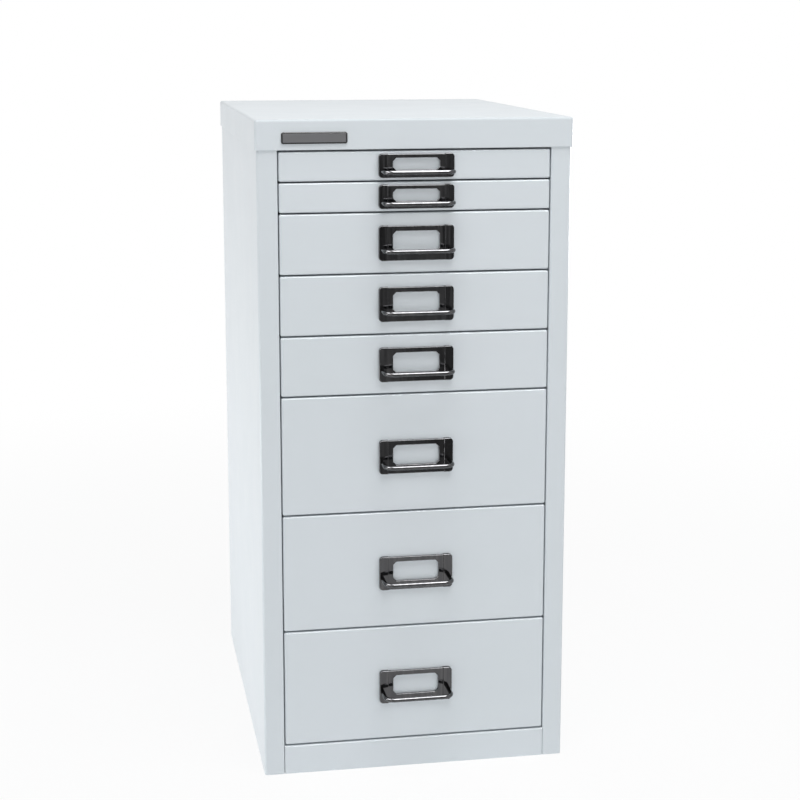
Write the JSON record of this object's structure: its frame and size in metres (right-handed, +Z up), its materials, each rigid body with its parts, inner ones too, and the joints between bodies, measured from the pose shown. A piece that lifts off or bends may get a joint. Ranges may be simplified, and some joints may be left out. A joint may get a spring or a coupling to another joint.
{
  "type": "multi-drawer cabinet",
  "caption": "Narrow upright sheet-steel cabinet with full-width drawers of three heights, each with a label frame and a fixed wire bow pull.",
  "frame": {"origin": "middle of the footprint, on the floor", "axes": "+Z up; drawer fronts face -Y; +X to the right seen from the front"},
  "size_m": [0.279, 0.4029, 0.59],
  "materials": {
    "carcass_paint": "pale grey powder coat, semi-gloss",
    "drawer_paint": "pale grey powder coat, semi-gloss",
    "pull_metal": "dark nickel plating, glossy",
    "runner_steel": "zinc-plated strip, satin",
    "badge_plate": "plain dark badge, satin"
  },
  "bodies": {
    "cabinet": {"side_panel_left": "carcass_paint", "side_panel_right": "carcass_paint", "back_panel": "carcass_paint", "base_panel": "carcass_paint", "bottom_rail": "carcass_paint", "top_rail": "carcass_paint", "rear_upright_left": "carcass_paint", "rear_upright_right": "carcass_paint", "top_cap": "carcass_paint", "blank_badge": "badge_plate", "runner_1_left": "runner_steel", "runner_1_right": "runner_steel", "runner_2_left": "runner_steel", "runner_2_right": "runner_steel", "runner_3_left": "runner_steel", "runner_3_right": "runner_steel", "runner_4_left": "runner_steel", "runner_4_right": "runner_steel", "runner_5_left": "runner_steel", "runner_5_right": "runner_steel", "runner_6_left": "runner_steel", "runner_6_right": "runner_steel", "runner_7_left": "runner_steel", "runner_7_right": "runner_steel", "runner_8_left": "runner_steel", "runner_8_right": "runner_steel"},
    "drawer_1": {"drawer_1_tray": "drawer_paint", "drawer_1_front": "drawer_paint", "drawer_1_label_frame": "pull_metal", "drawer_1_pull": "pull_metal"},
    "drawer_2": {"drawer_2_tray": "drawer_paint", "drawer_2_front": "drawer_paint", "drawer_2_label_frame": "pull_metal", "drawer_2_pull": "pull_metal"},
    "drawer_3": {"drawer_3_tray": "drawer_paint", "drawer_3_front": "drawer_paint", "drawer_3_label_frame": "pull_metal", "drawer_3_pull": "pull_metal"},
    "drawer_4": {"drawer_4_tray": "drawer_paint", "drawer_4_front": "drawer_paint", "drawer_4_label_frame": "pull_metal", "drawer_4_pull": "pull_metal"},
    "drawer_5": {"drawer_5_tray": "drawer_paint", "drawer_5_front": "drawer_paint", "drawer_5_label_frame": "pull_metal", "drawer_5_pull": "pull_metal"},
    "drawer_6": {"drawer_6_tray": "drawer_paint", "drawer_6_front": "drawer_paint", "drawer_6_label_frame": "pull_metal", "drawer_6_pull": "pull_metal"},
    "drawer_7": {"drawer_7_tray": "drawer_paint", "drawer_7_front": "drawer_paint", "drawer_7_label_frame": "pull_metal", "drawer_7_pull": "pull_metal"},
    "drawer_8": {"drawer_8_tray": "drawer_paint", "drawer_8_front": "drawer_paint", "drawer_8_label_frame": "pull_metal", "drawer_8_pull": "pull_metal"}
  },
  "joints": [
    {"name": "drawer_1_slide", "type": "slide", "parent": "cabinet", "child": "drawer_1", "axis": [0, -1, 0], "range_m": [0, 0.29]},
    {"name": "drawer_2_slide", "type": "slide", "parent": "cabinet", "child": "drawer_2", "axis": [0, -1, 0], "range_m": [0, 0.29]},
    {"name": "drawer_3_slide", "type": "slide", "parent": "cabinet", "child": "drawer_3", "axis": [0, -1, 0], "range_m": [0, 0.29]},
    {"name": "drawer_4_slide", "type": "slide", "parent": "cabinet", "child": "drawer_4", "axis": [0, -1, 0], "range_m": [0, 0.29]},
    {"name": "drawer_5_slide", "type": "slide", "parent": "cabinet", "child": "drawer_5", "axis": [0, -1, 0], "range_m": [0, 0.29]},
    {"name": "drawer_6_slide", "type": "slide", "parent": "cabinet", "child": "drawer_6", "axis": [0, -1, 0], "range_m": [0, 0.29]},
    {"name": "drawer_7_slide", "type": "slide", "parent": "cabinet", "child": "drawer_7", "axis": [0, -1, 0], "range_m": [0, 0.29]},
    {"name": "drawer_8_slide", "type": "slide", "parent": "cabinet", "child": "drawer_8", "axis": [0, -1, 0], "range_m": [0, 0.29]}
  ]
}
